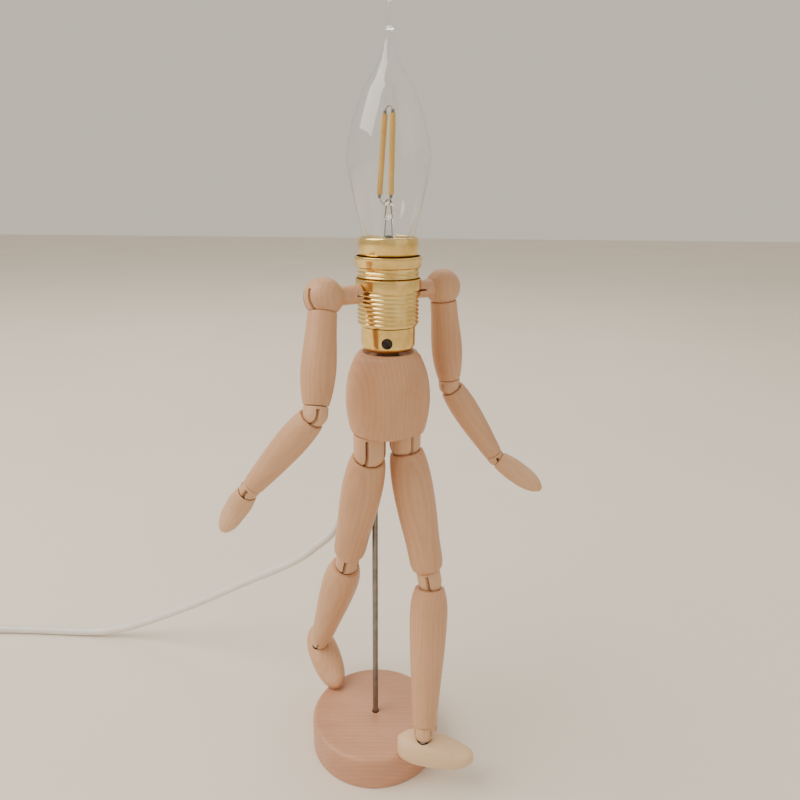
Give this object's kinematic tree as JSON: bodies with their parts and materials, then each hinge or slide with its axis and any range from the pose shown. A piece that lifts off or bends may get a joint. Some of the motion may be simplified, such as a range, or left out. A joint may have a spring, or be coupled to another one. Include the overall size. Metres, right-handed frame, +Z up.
{
  "type": "artist mannequin lamp",
  "caption": "Jointed wooden artist's mannequin on a steel rod and round base, with a brass lampholder for a chest, a flame-tip candle bulb for a head and a trailing cord.",
  "frame": {"origin": "centre of the base's underside, on the rod's axis", "axes": "+Z up; +X towards the figure's own left arm's side of the view, -Y towards the viewer; the figure faces -Y turned 35 degrees to +X"},
  "size_m": [0.4444, 0.1446, 0.3674],
  "materials": {
    "beech": "satin turned beech",
    "base_beech": "satin turned beech",
    "knuckle_beech": "satin turned beech",
    "brass": "polished",
    "steel": "drawn",
    "dark_steel": "blackened",
    "porcelain": "glazed",
    "glass": "clear",
    "filament": "phosphor-coated light stick",
    "white_plastic": "satin"
  },
  "bodies": {
    "stand_and_lampholder": {"base": "base_beech", "rod": "steel", "pelvis": "beech", "lampholder_cap": "brass", "cap_lock_screw": "dark_steel", "lampholder_skirt": "brass", "shade_ring_lower": "brass", "shade_ring_upper": "brass", "lampholder_insert": "porcelain", "screw_shell": "brass", "centre_contact": "brass", "nipple": "steel", "shoulder_spring": "steel", "cord_gland": "white_plastic", "cord": "white_plastic", "cord_coil": "white_plastic", "plug": "white_plastic"},
    "bulb": {"bulb_glass": "glass", "bulb_cap": "brass", "bulb_stem": "glass", "filament_front": "filament", "filament_back": "filament"},
    "right_hip_knuckle": {"right_hip_block": "knuckle_beech"},
    "right_thigh": {"right_thigh": "beech", "right_hip_fork": "steel"},
    "right_knee_knuckle": {"right_knee_block": "knuckle_beech"},
    "right_shin": {"right_shin": "beech", "right_knee_fork": "steel"},
    "right_ankle_knuckle": {"right_ankle_block": "knuckle_beech"},
    "right_foot": {"right_foot": "beech", "right_ankle_fork": "steel"},
    "right_shoulder": {"right_shoulder_ball": "beech"},
    "right_upper_arm": {"right_upper_arm": "beech", "right_shoulder_fork": "steel"},
    "right_elbow_knuckle": {"right_elbow_block": "knuckle_beech"},
    "right_forearm": {"right_forearm": "beech", "right_elbow_fork": "steel"},
    "right_wrist_knuckle": {"right_wrist_block": "knuckle_beech"},
    "right_hand": {"right_hand": "beech", "right_wrist_fork": "steel"},
    "left_hip_knuckle": {"left_hip_block": "knuckle_beech"},
    "left_thigh": {"left_thigh": "beech", "left_hip_fork": "steel"},
    "left_knee_knuckle": {"left_knee_block": "knuckle_beech"},
    "left_shin": {"left_shin": "beech", "left_knee_fork": "steel"},
    "left_ankle_knuckle": {"left_ankle_block": "knuckle_beech"},
    "left_foot": {"left_foot": "beech", "left_ankle_fork": "steel"},
    "left_shoulder": {"left_shoulder_ball": "beech"},
    "left_upper_arm": {"left_upper_arm": "beech", "left_shoulder_fork": "steel"},
    "left_elbow_knuckle": {"left_elbow_block": "knuckle_beech"},
    "left_forearm": {"left_forearm": "beech", "left_elbow_fork": "steel"},
    "left_wrist_knuckle": {"left_wrist_block": "knuckle_beech"},
    "left_hand": {"left_hand": "beech", "left_wrist_fork": "steel"}
  },
  "joints": [
    {"name": "bulb_unscrew", "type": "slide", "parent": "stand_and_lampholder", "child": "bulb", "axis": [0, 0, 1], "range_m": [0, 0.03]},
    {"name": "right_hip_swivel", "type": "hinge", "parent": "stand_and_lampholder", "child": "right_hip_knuckle", "pos_m": [-0.00169, -0.01774, 0.18222], "axis": [0, 0, -1], "range_deg": [-60, 0]},
    {"name": "right_hip_bend", "type": "hinge", "parent": "right_hip_knuckle", "child": "right_thigh", "pos_m": [-0.00169, -0.01774, 0.18222], "axis": [0.8271, 0.5621, 0], "range_deg": [0, 5]},
    {"name": "right_knee_twist", "type": "hinge", "parent": "right_thigh", "child": "right_knee_knuckle", "pos_m": [-0.01482, 0.00158, 0.11201], "axis": [-0.1774, 0.2611, -0.9489], "range_deg": [-90, 90]},
    {"name": "right_knee_bend", "type": "hinge", "parent": "right_knee_knuckle", "child": "right_shin", "pos_m": [-0.01482, 0.00158, 0.11201], "axis": [0.836, 0.5486, -0.0054], "range_deg": [0, 27]},
    {"name": "right_ankle_twist", "type": "hinge", "parent": "right_shin", "child": "right_ankle_knuckle", "pos_m": [-0.03422, 0.03046, 0.0413], "axis": [-0.2462, 0.3665, -0.8973], "range_deg": [-90, 90]},
    {"name": "right_ankle_bend", "type": "hinge", "parent": "right_ankle_knuckle", "child": "right_foot", "pos_m": [-0.03422, 0.03046, 0.0413], "axis": [-0.8665, -0.4979, 0.0345], "range_deg": [0, 45]},
    {"name": "right_shoulder_swing", "type": "hinge", "parent": "stand_and_lampholder", "child": "right_shoulder", "pos_m": [-0.01971, -0.03035, 0.25542], "axis": [-0.8192, -0.5736, 0], "range_deg": [-120, 120]},
    {"name": "right_shoulder_raise", "type": "hinge", "parent": "right_shoulder", "child": "right_upper_arm", "pos_m": [-0.01971, -0.03035, 0.25542], "axis": [0.5496, -0.7849, 0.286], "range_deg": [-90, 10]},
    {"name": "right_elbow_twist", "type": "hinge", "parent": "right_upper_arm", "child": "right_elbow_knuckle", "pos_m": [-0.02214, -0.04832, 0.21077], "axis": [-0.0504, -0.3728, -0.9265], "range_deg": [-90, 60]},
    {"name": "right_elbow_bend", "type": "hinge", "parent": "right_elbow_knuckle", "child": "right_forearm", "pos_m": [-0.02214, -0.04832, 0.21077], "axis": [0.5582, 0.7588, -0.3357], "range_deg": [-90, 0]},
    {"name": "right_wrist_twist", "type": "hinge", "parent": "right_forearm", "child": "right_wrist_knuckle", "pos_m": [-0.05246, -0.04227, 0.17405], "axis": [-0.6316, 0.1262, -0.7649], "range_deg": [-90, 90]},
    {"name": "right_wrist_bend", "type": "hinge", "parent": "right_wrist_knuckle", "child": "right_hand", "pos_m": [-0.05246, -0.04227, 0.17405], "axis": [0.4392, -0.7548, -0.4872], "range_deg": [-50, 35]},
    {"name": "left_hip_swivel", "type": "hinge", "parent": "stand_and_lampholder", "child": "left_hip_knuckle", "pos_m": [0.01469, -0.00626, 0.18222], "axis": [0, 0, -1], "range_deg": [-60, 45]},
    {"name": "left_hip_bend", "type": "hinge", "parent": "left_hip_knuckle", "child": "left_thigh", "pos_m": [0.01469, -0.00626, 0.18222], "axis": [-0.373, -0.9278, 0], "range_deg": [0, 35]},
    {"name": "left_knee_twist", "type": "hinge", "parent": "left_thigh", "child": "left_knee_knuckle", "pos_m": [0.02814, -0.01167, 0.10966], "axis": [0.1818, -0.0731, -0.9806], "range_deg": [-90, 0]},
    {"name": "left_knee_bend", "type": "hinge", "parent": "left_knee_knuckle", "child": "left_shin", "pos_m": [0.02814, -0.01167, 0.10966], "axis": [-0.6103, 0.7735, -0.1708], "range_deg": [0, 32]},
    {"name": "left_ankle_twist", "type": "hinge", "parent": "left_shin", "child": "left_ankle_knuckle", "pos_m": [0.02607, -0.03022, 0.0331], "axis": [-0.0264, -0.2354, -0.9715], "range_deg": [-40, 5]},
    {"name": "left_ankle_bend", "type": "hinge", "parent": "left_ankle_knuckle", "child": "left_foot", "pos_m": [0.02607, -0.03022, 0.0331], "axis": [-0.1723, -0.9563, 0.2363], "range_deg": [-30, 0]},
    {"name": "left_shoulder_swing", "type": "hinge", "parent": "stand_and_lampholder", "child": "left_shoulder", "pos_m": [0.03124, 0.00532, 0.25542], "axis": [0.8192, 0.5736, 0], "range_deg": [-120, 120]},
    {"name": "left_shoulder_raise", "type": "hinge", "parent": "left_shoulder", "child": "left_upper_arm", "pos_m": [0.03124, 0.00532, 0.25542], "axis": [-0.5735, 0.819, -0.0167], "range_deg": [-90, 10]},
    {"name": "left_elbow_twist", "type": "hinge", "parent": "left_upper_arm", "child": "left_elbow_knuckle", "pos_m": [0.03619, 0.00781, 0.20754], "axis": [0.1027, 0.0516, -0.9934], "range_deg": [-90, 90]},
    {"name": "left_elbow_bend", "type": "hinge", "parent": "left_elbow_knuckle", "child": "left_forearm", "pos_m": [0.03619, 0.00781, 0.20754], "axis": [0.1625, -0.9861, -0.0345], "range_deg": [-40, 20]},
    {"name": "left_wrist_twist", "type": "hinge", "parent": "left_forearm", "child": "left_wrist_knuckle", "pos_m": [0.06172, 0.01342, 0.16729], "axis": [0.5319, 0.117, -0.8387], "range_deg": [-90, 90]},
    {"name": "left_wrist_bend", "type": "hinge", "parent": "left_wrist_knuckle", "child": "left_hand", "pos_m": [0.06172, 0.01342, 0.16729], "axis": [-0.533, -0.7234, -0.4389], "range_deg": [-80, 10]}
  ]
}
